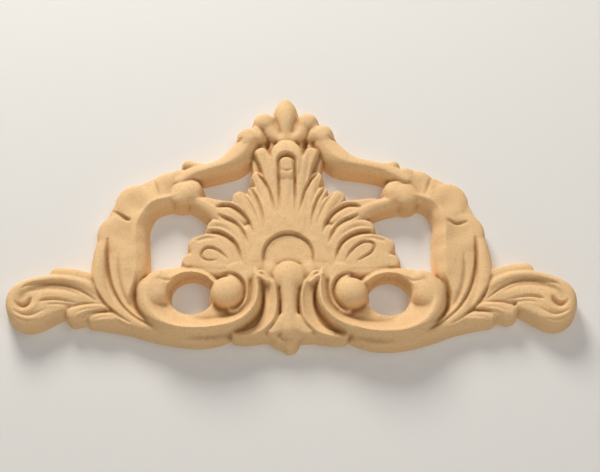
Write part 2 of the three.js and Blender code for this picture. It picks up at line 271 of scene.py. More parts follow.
# An oval sinking, down to a floor or right through
def sunk(u, z, across, up, floor, side=right, slope=6.0):
    x, zz = ontoPanel(np.array([float(u)]), np.array([float(z)]), side)
    x, zz = float(x[0]), float(zz[0])
    window = windowRound(x - across - 4, x + across + 4, zz - up - 4, zz + up + 4)
    gap = np.hypot((gridX[window] - x) / across, (gridZ[window] - zz) / up) - 1
    height[window] = np.minimum(height[window], floor + np.maximum(gap, 0) * (across + up) / 2 * slope)


# Rows from a leaf's root to its tip, bowed to one side
def bowed(root, tip, bow, halves, crests):
    (u0, z0), (u1, z1) = root, tip
    rows = []
    for i, t in enumerate((0, 0.33, 0.67, 1)):
        out = 4 * t * (1 - t) * bow
        half = throughRows([[v] for v in halves], 4)[i, 0]
        crest = throughRows([[v] for v in crests], 4)[i, 0]
        rows.append([u0 + (u1 - u0) * t + (z1 - z0) * out, z0 + (z1 - z0) * t - (u1 - u0) * out, half, crest])
    return rows


def layGround(side):
    ground = carving["ground"]
    bands = [
        [[0, -34, 10], [16, -47, 20], [34, -46, 19], [62, -47, 18.5]],
        [[0, -61, 7], [18, -60.5, 6.6], [30, -60.5, 6]],
        [[24, -60, 4], [47, -62, 6], [72, -56, 9], [96, -50, 7]],
        [[0, -4, 20], [20, -11, 18], [36, -16.5, 13.5], [47, -20, 8]],
        [[10, 4, 7], [13, 20, 4.6], [13, 35, 6.4], [12, 46.6, 7.4]],
    ]
    for band in bands:
        raised([row + [ground] for row in band], side, edge=ground, soft=0)


shell = {
    "face": 10.4,  # height of the shell's broad face
    "swell": 1.0,  # how much its middle stands proud
    "petals": [
        # root, tip, bow, half widths, rise of the tip over the face
        ((8, 2), (15.4, 41.8), -0.07, [3, 3.8, 4.2], 1.8),
        ((10.5, 0), (18.0, 27.2), -0.06, [2.6, 3.6, 3.2], -0.2),
        ((13.5, -2), (20.8, 18.2), -0.07, [2.6, 3.4, 2.6], -0.2),
        ((16.5, -5), (29, 14.8), -0.08, [3.2, 4.8, 3.8], -0.2),
        ((23, -17), (46.4, -6), -0.14, [3.6, 5.6, 4.4], -0.2),
        ((25, -23), (56, -18.6), -0.2, [3.6, 5.4, 4.6], -0.2),
        ((30, -27), (58.4, -25.6), -0.03, [4.8, 4.8, 4], -0.2),
    ],
    "nicheRadius": 12.9,
}

# Gouge strokes of the shell, from the rim to the heart: rows of u, z, half width, depth
shellStrokes = [
    [[16.6, 26.2, 1.0, 1.8], [12.6, 21.4, 1.3, 2.3], [9.8, 15.6, 1.2, 2.2], [7.8, 8.3, 1.0, 1.5], [6.7, 2.6, 0.7, 0.4]],
    [
        [20, 16.8, 1.2, 1.8], [16.8, 11.8, 1.7, 1.9], [14.6, 5.6, 1.6, 1.8], [13.2, -0.6, 1.2, 1.2],
        [12.5, -6.2, 0.8, 0.3],
    ],
    [[24.5, 14.6, 1.2, 0.6], [20.6, 8.8, 1.6, 1.0], [17.8, 2.4, 1.6, 0.8], [15.8, -4, 1, 0.2]],
    [
        [38.2, 6.0, 1.4, 1.2], [35.8, 7.0, 2.4, 2.4], [31.5, 7.2, 2.8, 3.0], [27.2, 4.8, 2.8, 3.0],
        [23.4, 0.8, 2.3, 2.6], [20.4, -4.4, 1.7, 1.8], [18.6, -9.4, 1, 0.5],
    ],
    [
        [37, 0.8, 1.4, 1.2], [33.5, -0.6, 2.4, 2.4], [29.4, -2.6, 2.6, 2.8], [25.8, -5.8, 2.2, 2.4],
        [23.4, -10, 1.6, 1.8], [21.6, -15, 1, 0.5],
    ],
    [
        [45.4, -8.6, 1.6, 1.8], [42.4, -8.4, 2.6, 2.8], [37.6, -9.0, 2.8, 3.0], [32.6, -11.4, 2.6, 2.8],
        [28.8, -14.8, 2.2, 2.6], [26.2, -19.8, 1.7, 2.0], [25, -25, 1, 0.6],
    ],
]
# The curl in the lowest petal, which the hand turned differently on each side
curls = {
    left: [
        [32.4, -24.7, 0.9, 0.4], [34.6, -22.4, 1.1, 1.2], [37.5, -20.1, 1.3, 1.6], [41.3, -18.4, 1.4, 1.8],
        [44.8, -18.6, 1.3, 1.8], [46.9, -21.2, 1.1, 1.6], [46.3, -24, 1.0, 1.5], [43, -25.4, 1.0, 1.2],
        [38.4, -25.2, 0.9, 0.5],
    ],
    right: [
        [30.4, -25.2, 0.9, 0.5], [32.6, -21.2, 1.1, 1.4], [36, -17.4, 1.4, 1.8], [40.2, -14.8, 1.5, 2.0],
        [44, -15.2, 1.3, 2.0], [45.2, -17.6, 1.2, 1.8], [43.5, -20.7, 1.1, 1.8], [39.8, -23.4, 1.1, 1.4],
        [36.7, -25.4, 0.9, 0.6],
    ],
}


# A soft rise of the wood that is already there
def swollen(u, z, reach, rise, side=right):
    x, zz = ontoPanel(np.array([float(u)]), np.array([float(z)]), side)
    gap = np.hypot(gridX - x[0], gridZ - zz[0])
    height[:] += rise * np.exp(-((gap / reach) ** 2)) * (height > 3)


def carveShell():
    face = shell["face"]
    raised(
        [[-25, -20, 9, face], [-10, -13, 15, face], [10, -13, 15, face], [25, -20, 9, face]],
        full=8, edge=7, soft=0.2,
    )
    raised(
        [
            [0, -4, 9, face], [0, 18, 9, face + 0.4], [0, 28, 9.8, face + 1.2], [0, 33, 10.6, face + 1.6],
            [0, 37, 12.4, face + 1.9], [0, 40.6, 13.8, face + 1.9],
        ],
        full=4, edge=10.6, tip=True, soft=0.4,
    )
    for side in bothSides:
        for root, tip, bow, halves, rise in shell["petals"]:
            high = face + rise
            petal = bowed(root, tip, bow, halves, [face, face + (high - face) / 2, high])
            raised(petal, side, edge=7, tip=True, soft=0.2, full=6)
        # the strip that joins the flank's knob, and the web above it
        raised(
            [[24, 1.5, 6, 9.8], [31, 4.6, 5.6, 10], [38, 6.6, 4.6, 10], [45, 8.8, 4, 10]],
            side, edge=7, full=4, soft=0.3,
        )
        raised(
            [
                [54, 12, 4.6, 11.2], [48, 9, 4.6, 11], [42, 5.4, 5.2, 10.8], [36, 1.4, 6, 10.6], [30, -3, 5, 10.5],
                [24, -8, 4, 10.4],
            ],
            side, edge=(6, 5), ridge=0.1, leftSide=rounded(2), rightSide=rounded(1.35), soft=0.6,
        )
        # the shell's face runs on down beside the niche to the scroll
        raised([[12, -18, 8, face], [17, -26, 7, face + 0.2], [19.4, -33, 5.4, face + 0.8]], side, full=3.4, soft=1.8)
        # and out below the lowest petals, whose ends alone stand apart
        raised([[26, -22, 8, face], [38, -21, 7, face], [49, -21.6, 5, face - 0.2]], side, full=6, soft=0.2)
        raised(
            [[22, -29, 5, 10.3], [30, -30.4, 4.4, 10.3], [40, -30.6, 4.4, 10.2], [50, -30.4, 3.4, 9.8]],
            side, full=3, soft=1.2,
        )
    raised([[0, 30, 8.4, face + 1.9], [0, 37.2, 8.8, face + 1.9]], full=4, edge=10.6, soft=0.3)
    swollen(0, 37, 10, 0.8)
    swollen(0, -8, 19, shell["swell"])
    swollen(0, 34, 12, 1.2)
    for side in bothSides:
        for stroke in shellStrokes:
            grooved(stroke, side, lean=0.6, sharp=1.2)
        grooved(curls[side], side, sharp=1.2, lean=0.3)
        # a shallow stroke hollows the tall petal between the deep ones
        grooved([[12.4, 36, 2, 0.3], [11.6, 29, 2.8, 0.6], [9.6, 18, 2.2, 0.6], [8, 8, 1.4, 0.2]], side, sharp=1.8)
        # the notch between the tip and the dome
        grooved(
            [[11, 45.6, 1.8, 2.6], [10.6, 42.6, 1.5, 1.8], [10, 40, 1.1, 0.7], [9.4, 37.6, 1, 0.2]],
            side, sharp=1.4,
        )
        # shallow strokes again, on down the side
        grooved([[18, 24, 1.6, 0.4], [16.2, 18, 2.0, 0.7], [13.6, 9, 1.4, 0.3]], side, sharp=1.6)
        grooved([[28.6, 12, 2, 0.4], [25.6, 7.4, 2.6, 0.8], [21.4, 0.4, 1.8, 0.3]], side, sharp=1.6)
        grooved([[50, -14, 1.6, 0.8], [45, -12.4, 2, 1.0], [40, -12.6, 1.6, 0.5]], side, sharp=1.4)
        grooved([[43.6, -6, 1.6, 0.3], [38, -5.4, 2.4, 0.8], [32, -8, 2, 0.6], [27, -12.6, 1.4, 0.2]], side, sharp=1.6)
    # the keyhole groove round the finger
    legs = [[4.2, 3, 0.7, 0.3], [4.3, 12, 0.9, 1.5], [4.4, 22, 1.1, 2.2], [4.5, 29, 1.2, 2.6]]
    arch = []
    for step in range(1, 8):
        turn = math.pi * step / 8
        over = math.sin(turn)
        arch.append([4.7 * math.cos(turn), 31 + 4.9 * over, 1.3 + 0.9 * over, 2.6 + 0.6 * over])
    grooved(legs + arch + [[-u, z, half, depth] for u, z, half, depth in reversed(legs)], sharp=1.1)
    raised(
        [[0, -4, 2.2, 10.4], [0, 10, 2.9, 11.3], [0, 22, 3.2, 12], [0, 29.8, 3.4, 12.4]],
        edge=8.8, full=2.4, soft=0.2,
    )
    domed(0, 30.4, 3.8, 13.2, rim=8.8, full=2, soft=0.3)
    grooved([[-3.2, 27.2, 0.7, 0.3], [0, 26.2, 1.0, 0.6], [3.2, 27.2, 0.7, 0.3]], sharp=1)


def carveNiche():
    rim = shell["nicheRadius"]
    arch = [[rim, -32, 0.7, 0.3], [rim, -28, 0.9, 1.0]]
    for step in range(13):
        turn = math.pi * step / 12
        over = math.sin(turn)
        arch.append([rim * math.cos(turn), -23.4 + rim * over, 1.0 + 0.3 * over, 1.6 + 0.5 * over])
    arch += [[-rim, -28, 0.9, 1.0], [-rim, -32, 0.7, 0.3]]
    sunk(0, -24.2, rim - 1, rim - 0.6, 9.6, slope=0.6)
    grooved(arch, sharp=1.1, lean=-0.5)


flank = {
    "crest": 12.8,
    "innerEdge": 4.5,  # the wood is thin where it slopes down to the opening
    "outerEdge": 8.5,
    "lobes": [
        # u, z, radius, and where its flute starts at the crest; the smallest has no flute
        (91.6, -9.5, 12.3, (83.5, -12)),
        (84.2, 8.8, 11.5, (79, 1)),
        (66.5, 17.6, 10.6, (65, 10)),
        (61, 23.4, 6.2, None),
    ],
    # u, z, radius, depth
    "gougeMarks": [
        (80, -5, 5, 1.1), (80.4, -16, 5.4, 1.2), (80.6, -26, 4.6, 1.0), (78, 4.6, 4.4, 0.9), (70, 10.6, 4.4, 0.9),
        (83, -36, 4.6, 0.8),
    ],
}


def carveFlank(side):
    for u, z, radius, start in flank["lobes"]:
        domed(u, z, radius, 10.8, side, rim=6.6, full=3.4, soft=0.05)
    crest = flank["crest"]
    raised(
        [
            [87, -54, 5, 8], [89, -46, 7.5, 9.6], [87.5, -30, 11.5, 11.4], [88.6, -14, 12.5, 12.4],
            [87.6, -3, 11.3, crest], [83.5, 7, 10.6, crest], [76.5, 12.8, 9.4, crest], [68.5, 16, 9.6, crest],
            [60, 17, 9, 12.2], [54, 16.6, 6.4, 10.2],
        ],
        side, edge=(flank["innerEdge"], flank["outerEdge"]), ridge=-0.5,
        leftSide=rounded(1.1), rightSide=sloping(0.8), soft=1.2,
    )
    raised(
        [[97.2, -7, 4.4, 9], [100, -17, 4.8, 10.4], [101.3, -28, 5, 10.8], [100.8, -38, 5, 10.6], [96, -50, 3.8, 9.4]],
        side, edge=5, soft=0.3,
    )
    domed(58.8, 13.6, 7, 13.6, side, rim=10, full=2, soft=1.8)
    domed(54, 15.6, 6.6, 12.8, side, rim=9, full=2, soft=1.8)
    # flutes from the crest out to each lobe, and the creases between the lobes
    for u, z, radius, start in flank["lobes"]:
        if start:
            swollen((start[0] + u) / 2, (start[1] + z) / 2, radius * 0.5, -0.6, side)
            swollen(u, z, radius * 0.62, -0.9, side)
    if side == left:
        grooved(
            [[95.6, 3.4, 1.0, 0.8], [92, 1.2, 1.2, 1.5], [88.4, -1.2, 1.4, 2.4], [86.4, -2, 1.1, 1.8]],
            side, sharp=1,
        )
    else:
        grooved([[93.4, -3.8, 1.2, 0.8], [88.5, -4.9, 1.4, 1.6], [84.3, -3.2, 1.2, 1.0]], side, sharp=1)
    grooved([[75.6, 22.4, 1.2, 0.6], [73.4, 17.4, 1.8, 0.9], [71.5, 12.6, 1.2, 0.3]], side, sharp=1.3)


# The grooves that sweep down the flank and on under the scroll, cut when both are there
def carveSweeps(side):
    grooved(
        [
            [97.6, -13, 0.8, 0.8], [97.6, -22, 1.3, 1.8], [96.4, -31, 1.5, 2.2], [93.6, -40.6, 1.5, 2.2],
            [88.8, -49, 1.4, 2.0], [82.6, -55.4, 1.2, 1.7], [74, -60.8, 1.0, 1.4], [63, -65, 1.0, 1.2],
            [52, -67.4, 0.9, 0.8],
        ],
        side, lean=0.5, sharp=1.1,
    )
    grooved(
        [
            [104.6, -36, 0.9, 0.6], [101.8, -42.6, 1.3, 1.8], [97, -49.4, 1.3, 1.9], [90.4, -55.2, 1.2, 1.5],
            [83, -59.8, 0.9, 0.6],
        ],
        side, lean=0.4, sharp=1.1,
    )
    grooved(
        [
            [91.4, -22, 1.2, 0.3], [91, -32, 2.2, 0.9], [88.8, -41, 2.2, 1.1], [84.6, -49.4, 1.7, 1.0],
            [78.6, -55.8, 1, 0.6],
        ],
        side, sharp=1.3,
    )
    # hollows left by the gouge on the slope to the opening
    for u, z, radius, deep in flank["gougeMarks"]:
        swollen(u, z, radius, -deep, side)


def carveTail(side):
    raised(
        [
            [96, -45, 8, 8.6], [108, -41.6, 10.2, 10.4], [119, -42, 9.8, 11.2], [131, -47.4, 11.6, 11.8],
            [148.6, -50.2, 12.2, 12],
        ],
        side, edge=(5, 8.6), full=3, tip=True, soft=0.2,
    )
    raised(bowed((101, -37.5), (127.2, -32.6), -0.03, [4, 4.6, 4.0], [9, 11, 11.4]), side, edge=8.4, tip=True, soft=0.2)
    raised(
        [
            [100, -43.4, 2.6, 9.8], [106, -40, 3, 11.2], [113, -37.4, 3, 12.2], [121, -36.4, 3, 12.8],
            [129, -37, 3.2, 13], [137, -39.6, 4, 13.3], [142.4, -43.6, 4.8, 13.4], [143.8, -49, 4.8, 13.2],
            [141.8, -55, 4.4, 12.8], [136.4, -58.2, 4, 12.2], [130, -57, 3.4, 11.4], [124, -54.4, 2.8, 10.8],
            [118, -52, 2.2, 10.2],
        ],
        side, edge=7.6, full=2.2, soft=1.2,
    )
    # under the rim runs a thin groove, and below it a smooth tongue that curls round the eye
    grooved(
        [
            [139.6, -42.4, 0.8, 0.4], [137.6, -40.6, 1.2, 1.2], [133, -39.4, 1.5, 1.9], [127, -38.8, 1.6, 2.2],
            [120.6, -39, 1.6, 2.2], [114, -40.6, 1.5, 2.0], [108, -43.4, 1.3, 1.6], [102, -47.4, 0.9, 0.6],
        ],
        side, lean=0.8, sharp=1.0,
    )
    grooved([[136, -43, 2.4, 0.4], [128, -41.6, 3, 0.9], [119, -41.8, 3, 0.9], [110, -44.8, 2, 0.4]], side, sharp=1.8)
    grooved(
        [
            [112, -49.2, 0.8, 0.3], [117, -48.4, 1.1, 1.1], [122.8, -47.8, 1.4, 1.6], [127.6, -48.2, 1.3, 1.6],
            [130.6, -49.4, 0.9, 0.6],
        ],
        side, lean=0.4, sharp=1.2,
    )
    grooved(
        [
            [142.8, -49.2, 0.8, 0.5], [141.2, -50.8, 1.3, 1.8], [138.6, -51.4, 1.7, 2.8], [136.2, -50, 1.6, 2.6],
            [135.2, -47.8, 1.2, 1.2],
        ],
        side, sharp=1.0,
    )
    raised(
        [
            [131, -46.6, 1.6, 11.8], [131.8, -50, 1.7, 12.1], [134, -53, 1.7, 12.3], [138, -54.2, 1.6, 12.3],
            [142, -53, 1.2, 12.2],
        ],
        side, edge=10.8, soft=1,
    )
    grooved(
        [
            [142.6, -54.4, 0.8, 0.5], [139.2, -56, 1.0, 1.3], [134.8, -56.6, 1.0, 1.2], [130.8, -55, 0.9, 0.7],
            [127, -53, 0.8, 0.2],
        ],
        side,
    )
    grooved([[143.6, -56.6, 0.7, 0.3], [139.6, -58.8, 0.9, 1.0], [135.4, -59.8, 1.0, 1.1], [131, -59, 0.8, 0.5]], side)
    grooved([[126, -50.8, 0.8, 0.4], [120.6, -50.2, 0.9, 0.7], [114, -50.6, 0.8, 0.3]], side)
    # two short round leaves below
    raised(
        [[96, -50.6, 2.4, 9], [102, -51.8, 3.8, 10.4], [107.5, -53.4, 4.7, 11], [112.2, -54.4, 4.9, 10.4]],
        side, edge=6.5, full=2.4, soft=0.4,
    )
    raised(
        [[84, -56.4, 2.8, 8.8], [92, -56.8, 3.2, 9.6], [98, -57, 3.4, 10], [102.4, -57.2, 3.3, 9.4]],
        side, edge=6, full=2.4, soft=0.4,
    )
    grooved(
        [
            [107, -61, 1.1, 1.8], [108.6, -58.4, 1.1, 1.8], [106.8, -55.8, 1.1, 1.5], [101.6, -54.2, 1.0, 1.2],
            [95, -53, 0.8, 0.4],
        ],
        side, lean=-0.3, sharp=1.1,
    )
    grooved(
        [[98, -49.6, 0.8, 0.6], [104, -49.8, 1.0, 1.0], [110, -50.2, 1.0, 0.9], [114.6, -52, 0.8, 0.3]],
        side, sharp=1.2,
    )
    grooved([[100, -52.2, 0.8, 0.3], [106, -53, 1.2, 0.6], [111.6, -55, 0.9, 0.2]], side, sharp=1.4)
    grooved([[91, -56.4, 0.8, 0.3], [97, -57, 1.1, 0.5], [102, -58.2, 0.8, 0.2]], side, sharp=1.4)


scroll = {
    "opening": {"u": 51.6, "z": -44, "across": 10.1, "up": 9.0, "floor": -6, "slope": 9},
    "boss": {"u": 32.4, "z": -43.6, "radius": 8.7, "top": 15.6},
}


def carveScroll(side):
    # the keel: two strands that run on from the flank below the ring
    raised(
        [
            [90, -46, 5, 9], [86, -54, 5.4, 9.8], [77, -59.4, 4.6, 10.2], [66, -62.8, 4, 10.4], [52, -65.2, 3.6, 10.4],
            [40, -65, 3, 10], [30, -62.8, 2.2, 8.8],
        ],
        side, edge=(8, 6), full=2.2, soft=0.3,
    )
    raised(
        [
            [98, -58.6, 2.6, 7], [84, -61, 2.7, 7.6], [72, -64.4, 2.7, 8], [60, -67, 2.6, 8], [48, -68.2, 2.6, 8],
            [38, -67.2, 2.4, 7.8], [30, -64.8, 1.8, 7],
        ],
        side, edge=3, full=2.2, soft=0.2,
    )
    raised(
        [
            [14.4, -34.6, 3.6, 12.6], [10.4, -41, 4.6, 12.6], [9.4, -49, 4.8, 12.6], [10.8, -57, 4.9, 12.2],
            [15.6, -62.6, 4.2, 11.6], [23, -65.2, 3.4, 10.8], [30.4, -65, 2.6, 9.8],
        ],
        side, edge=(8, 7), ridge=0.5, leftSide=sloping(0.7), rightSide=rounded(2.2), tip=True, soft=0.3,
    )
    # the floor round the ball
    raised(
        [[27, -32, 6, 11], [25.6, -40, 5.2, 12], [26.4, -47, 5, 11.6], [28.6, -50.6, 4.8, 10.2]],
        side, full=5, edge=8, soft=1.6,
    )
    raised(
        [
            [21.4, -24, 5, 8.6], [20.4, -30, 5.2, 11], [19.2, -36, 5.2, 13.2], [18.8, -43.4, 5.2, 14.8],
            [20.6, -51.4, 5.4, 15.8], [27, -58.0, 6, 16.6], [38, -61.4, 6.2, 17], [49, -61.8, 6.6, 16.8],
            [59.4, -59.6, 8.4, 16], [67.4, -54, 10, 14.8], [70.4, -46, 10.4, 13.8], [69, -38.8, 9, 12.6],
        ],
        side, edge=(6, 6), ridge=0.4, leftSide=sloping(0.85), rightSide=rounded(2.2), soft=0.3,
    )
    # over the opening its crest hugs the edge
    raised(
        [
            [71.6, -43, 8, 12.8], [69, -38.6, 6.4, 12.6], [63.6, -34.8, 4.8, 12.6], [57, -32.4, 3.6, 12.8],
            [49, -32.4, 3.2, 12.8], [43.6, -34.2, 2.8, 12.8], [39.6, -37, 2.2, 12.4],
        ],
        side, edge=(9.5, 8.6), ridge=-0.35, leftSide=rounded(2.2), rightSide=sloping(1.1), soft=1,
    )
    domed(71.4, -42.4, 9.6, 13.8, side, rim=8, full=2, soft=2)
    domed(67.4, -36, 4.4, 12.8, side, rim=9.5, full=2, soft=2)
    # the groove between ring and flank, and on below the ring
    grooved(
        [
            [80.6, -34, 1.0, 0.4], [82, -40, 1.3, 1.8], [81.9, -46.6, 1.4, 2.2], [79.4, -53, 1.4, 2.0],
            [73.4, -59.2, 1.3, 1.8], [62.4, -64, 1.0, 1.4], [50, -66, 0.9, 1.2], [38, -65, 0.9, 1.0],
            [30, -62.4, 0.8, 0.4],
        ],
        side, lean=0.4, sharp=1.1,
    )
    grooved([[61, -36.4, 1.4, 0.5], [64.6, -37.6, 1.8, 0.9], [69.4, -36.8, 1.4, 0.3]], side, sharp=1.6)


# The boss in the scroll's eye and the groove round it
def carveEye(side):
    grooved(
        [
            [36.6, -33.6, 0.9, 0.3], [31.4, -33, 1.3, 1.2], [26.8, -35, 1.6, 2.4], [24, -38.8, 1.8, 3.2],
            [23.2, -43.6, 1.8, 3.4], [24.8, -48.6, 1.8, 2.6], [28.6, -51.8, 1.6, 1.2], [33, -53, 1.3, 0.3],
        ],
        side, sharp=1.1,
    )
    domed(side=side, rim=9.6, full=2, soft=1.6, **scroll["boss"])


def carveStem():
    for side in bothSides:
        domed(10.2, -31.6, 7.6, 10.8, side, rim=7.4, full=2, soft=1)
    domed(0, -34.6, 8.6, 14, rim=10, full=2, soft=1.4)
    raised(
        [
            [0, -34, 6.6, 14], [0, -38, 6.4, 14], [0, -43, 5.4, 13.4], [0, -49, 4.6, 12.9], [0, -54, 4.7, 12.7],
            [0, -58, 5.2, 12.5], [0, -62, 6, 12.2],
        ],
        full=2.4, edge=(7.6, 7.6), tip=True, soft=0.5,
    )
    raised([[-11.6, -62.4, 2.6, 8.8], [-6.4, -67.6, 2.8, 8], [-1.8, -70, 2.4, 6.6]], edge=4, full=3)
    for side in bothSides:
        grooved(
            [
                [7.8, -39, 0.8, 0.5], [5.9, -43.6, 1.0, 1.4], [5.0, -49, 1.0, 1.9], [5.3, -55, 1.0, 1.8],
                [6.2, -58.8, 0.9, 1.6], [8.6, -61.6, 0.8, 1.2], [11.6, -63.8, 0.7, 0.8],
            ],
            side, sharp=1.1,
        )
        raised(
            [[2, -59, 4.6, 12], [5.4, -62.4, 3.6, 11.6], [8.6, -64.6, 2.4, 11], [11.4, -65.8, 1.4, 10.4]],
            side, edge=9.6, full=3, tip=True, soft=0.4,
        )
        grooved(
            [
                [16.2, -36.6, 0.8, 1.4], [14.4, -41, 1.2, 2.8], [13.6, -48, 1.3, 3.0], [15, -55, 1.2, 2.6],
                [18.6, -61.4, 1.1, 1.8], [25, -63.8, 0.9, 0.8],
            ],
            side, sharp=1.1,
        )


# The drop that ends the stem below the flare
def carveDrop():
    raised(
        [[0, -59, 4.4, 12.4], [0, -63.6, 6.6, 12.4], [0, -66.8, 6.8, 10.9], [0, -69.1, 4.6, 8]],
        edge=4, full=2, soft=1.2,
    )


# The inner leaf's tip folds over where it leaves the shell
def carveFold(side):
    raised([[17.6, -33.6, 1.6, 12.6], [14, -36, 2.0, 13.4], [10.6, -39.4, 1.6, 13.2]], side, edge=8, full=2, tip=True)


crown = {"budAt": {left: 32, right: 29.6}}  # how high the small bud on the arm sits on either side


def carveCrown(side):
    raised(
        [
            [60, 21.5, 5, 11.5], [52, 26, 5, 12], [44, 28, 4.6, 12.8], [36, 30.6, 5.2, 13], [29, 34.6, 6.8, 13],
            [23.6, 40.8, 7, 12.4], [20.8, 46.4, 6.8, 12.4],
        ],
        side, edge=(4.5, 8), ridge=-0.12, leftSide=rounded(1.35), rightSide=rounded(2), soft=0.5,
    )
    domed(21.4, 48.6, 6.4, 13, side, rim=6.5, full=3.2, soft=1.6)
    domed(16.4, 49.4, 4.8, 11.8, side, rim=7, full=2.4, soft=1.6)
    grooved([[29.4, 45.6, 1.2, 2.4], [26.4, 45.6, 1.2, 1.6], [23.6, 46.6, 1, 0.3]], side, sharp=1.1)
    budZ = crown["budAt"][side]
    domed(56, budZ, 3.8, 10.5, side, full=2, soft=0.6)
    raised(
        [[56, budZ, 3.2, 10.4], [50, budZ - 0.8, 2.6, 10.8], [45, budZ - 1, 1.6, 11.2]],
        side, edge=7, full=2, soft=1,
    )
    raised([[2.6, 50, 3.6, 10], [5.4, 55, 3.6, 10.4], [7.6, 60, 3, 9.8]], side, edge=8, full=3, soft=0.4)
    domed(12.2, 58.4, 6.7, 13, side, rim=5, full=2.5, soft=0.8)
    # folds run down from the lobe and the knob to the shell's hood
    raised([[10.6, 56, 4.6, 12], [8, 51.4, 4, 11.4], [3.6, 48, 3, 10.8]], side, edge=8, soft=1)
    raised([[16.4, 53, 3.6, 11.4], [13.6, 49.6, 3, 10.8], [11, 47, 2, 9.8]], side, edge=8, tip=True, soft=1)
    grooved(
        [[13.4, 52.6, 0.8, 0.4], [11.8, 49, 1.3, 1.3], [10.4, 46, 1.8, 2.2], [9.8, 43.4, 1.4, 1.6]],
        side, sharp=1.2,
    )


def carveCrownBud():
    raised([[0, 43, 6, 10.8], [0, 49, 4.6, 11.4]], edge=9, full=2, soft=1)
    raised(
        [
            [0, 48, 3, 11], [0, 54, 4.6, 12.4], [0, 59.6, 6.2, 13.4], [0, 65, 6.8, 13.4], [0, 69, 5.9, 12.8],
            [0, 72, 3.8, 11.8], [0, 73.6, 1.8, 10.6],
        ],
        edge=6, full=2.2, tip=True, soft=0.5,
    )


for side in bothSides:
    layGround(side)
carveShell()
for side in bothSides:
    carveFlank(side)
    carveTail(side)
    carveScroll(side)
    carveSweeps(side)
carveNiche()
for side in bothSides:
    sunk(side=side, **scroll["opening"])
    carveEye(side)
carveStem()
carveDrop()
for side in bothSides:
    carveFold(side)
    carveCrown(side)
carveCrownBud()
print("Forms raised and gouged")


# Sanding: a soft blur of the whole field, first along one way, then along the other
def softened(field, radius):
    reach = max(int(3 * radius / cellX), 1)
    steps = np.arange(-reach, reach + 1) * cellX
    weights = np.exp(-((steps / radius) ** 2) / 2)
    weights /= weights.sum()
    padded = np.pad(field, reach, mode="edge")
    rows = sum(w * padded[:, k : k + field.shape[1]] for k, w in enumerate(weights))
    return sum(w * rows[k : k + field.shape[0], :] for k, w in enumerate(weights))


# Low, irregular waves that a hand leaves, from a few seeded sets of crossing ripples
def waver():
    chance = np.random.default_rng(7)
    waves = np.zeros(gridX.shape)
    for size in carving["waverSizes"]:
        for k in range(4):
            turn, phase = chance.uniform(0, math.tau, 2)
            stretch = chance.uniform(0.8, 1.25)
            walk = (gridX * math.cos(turn) + gridZ * math.sin(turn)) * math.tau / (size * stretch)
            waves += np.sin(walk + phase + 0.8 * np.sin(walk * 0.37 + 2 * phase)) * size / 40
    return waves / np.abs(waves).max()


height = softened(height, carving["softEdge"])
wood = easeBetween(2, 7, height)
height += carving["handWaver"] * waver() * wood


# Raise the grid, saw it off at the back plane and close the back
def raiseAndSaw():
    spots = np.stack([gridX, -height, gridZ], axis=-1).reshape(-1, 3) * mm
    blank.data.vertices.foreach_set("co", spots.ravel())
    blank.data.update()
    deselectAll()
    blank.select_set(True)
    bpy.context.view_layer.objects.active = blank
    bpy.ops.object.mode_set(mode="EDIT")
    bpy.ops.mesh.select_all(action="SELECT")
    bpy.ops.mesh.bisect(plane_co=(0, 0, 0), plane_no=(0, 1, 0), clear_outer=True, threshold=1e-7)
    bpy.ops.mesh.select_all(action="DESELECT")
    bpy.ops.mesh.select_mode(type="EDGE")
    bpy.ops.mesh.select_non_manifold(
        extend=False, use_wire=False, use_boundary=True, use_multi_face=False, use_non_contiguous=False, use_verts=False
    )
    bpy.ops.mesh.fill(use_beauty=False)
    bpy.ops.mesh.select_mode(type="FACE")
    bpy.ops.mesh.select_all(action="SELECT")
    bpy.ops.mesh.normals_make_consistent(inside=False)
    bpy.ops.object.mode_set(mode="OBJECT")


# The grid leaves fine teeth on the steep walls; this rubs them off and spares the rest
def rubWalls():
    corners = len(blank.data.vertices)
    normals = np.zeros(corners * 3)
    blank.data.vertices.foreach_get("normal", normals)
    spots = np.zeros(corners * 3)
    blank.data.vertices.foreach_get("co", spots)
    steep = np.clip((0.86 - np.abs(normals[1::3])) / 0.3, 0, 1) * (spots[1::3] < -0.2 * mm)
    walls = blank.vertex_groups.new(name="walls")
    for level in range(1, 5):
        chosen = np.nonzero((steep > (level - 1) / 4) & (steep <= level / 4))[0]
        walls.add(chosen.tolist(), level / 4, "REPLACE")
    rub = blank.modifiers.new("rub", "SMOOTH")
    rub.factor = 0.5
    rub.iterations = carving["wallRubs"]
    rub.vertex_group = "walls"
    bpy.ops.object.modifier_apply(modifier="rub")
    blank.vertex_groups.clear()


raiseAndSaw()
rubWalls()
triangles = sum(len(face.vertices) - 2 for face in blank.data.polygons)
print(f"Carving raised and sawn: {triangles} triangles")
if triangles > carving["mostTriangles"]:
    thin = blank.modifiers.new("thin", "DECIMATE")
    thin.ratio = carving["mostTriangles"] / triangles
    bpy.ops.object.modifier_apply(modifier="thin")
    print(f"Thinned to {len(blank.data.polygons)} triangles")
bpy.ops.object.shade_smooth_by_angle(angle=math.radians(55))
blank.data.name = "carvedApplique"

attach(blank, "root")
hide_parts("crest_applique")


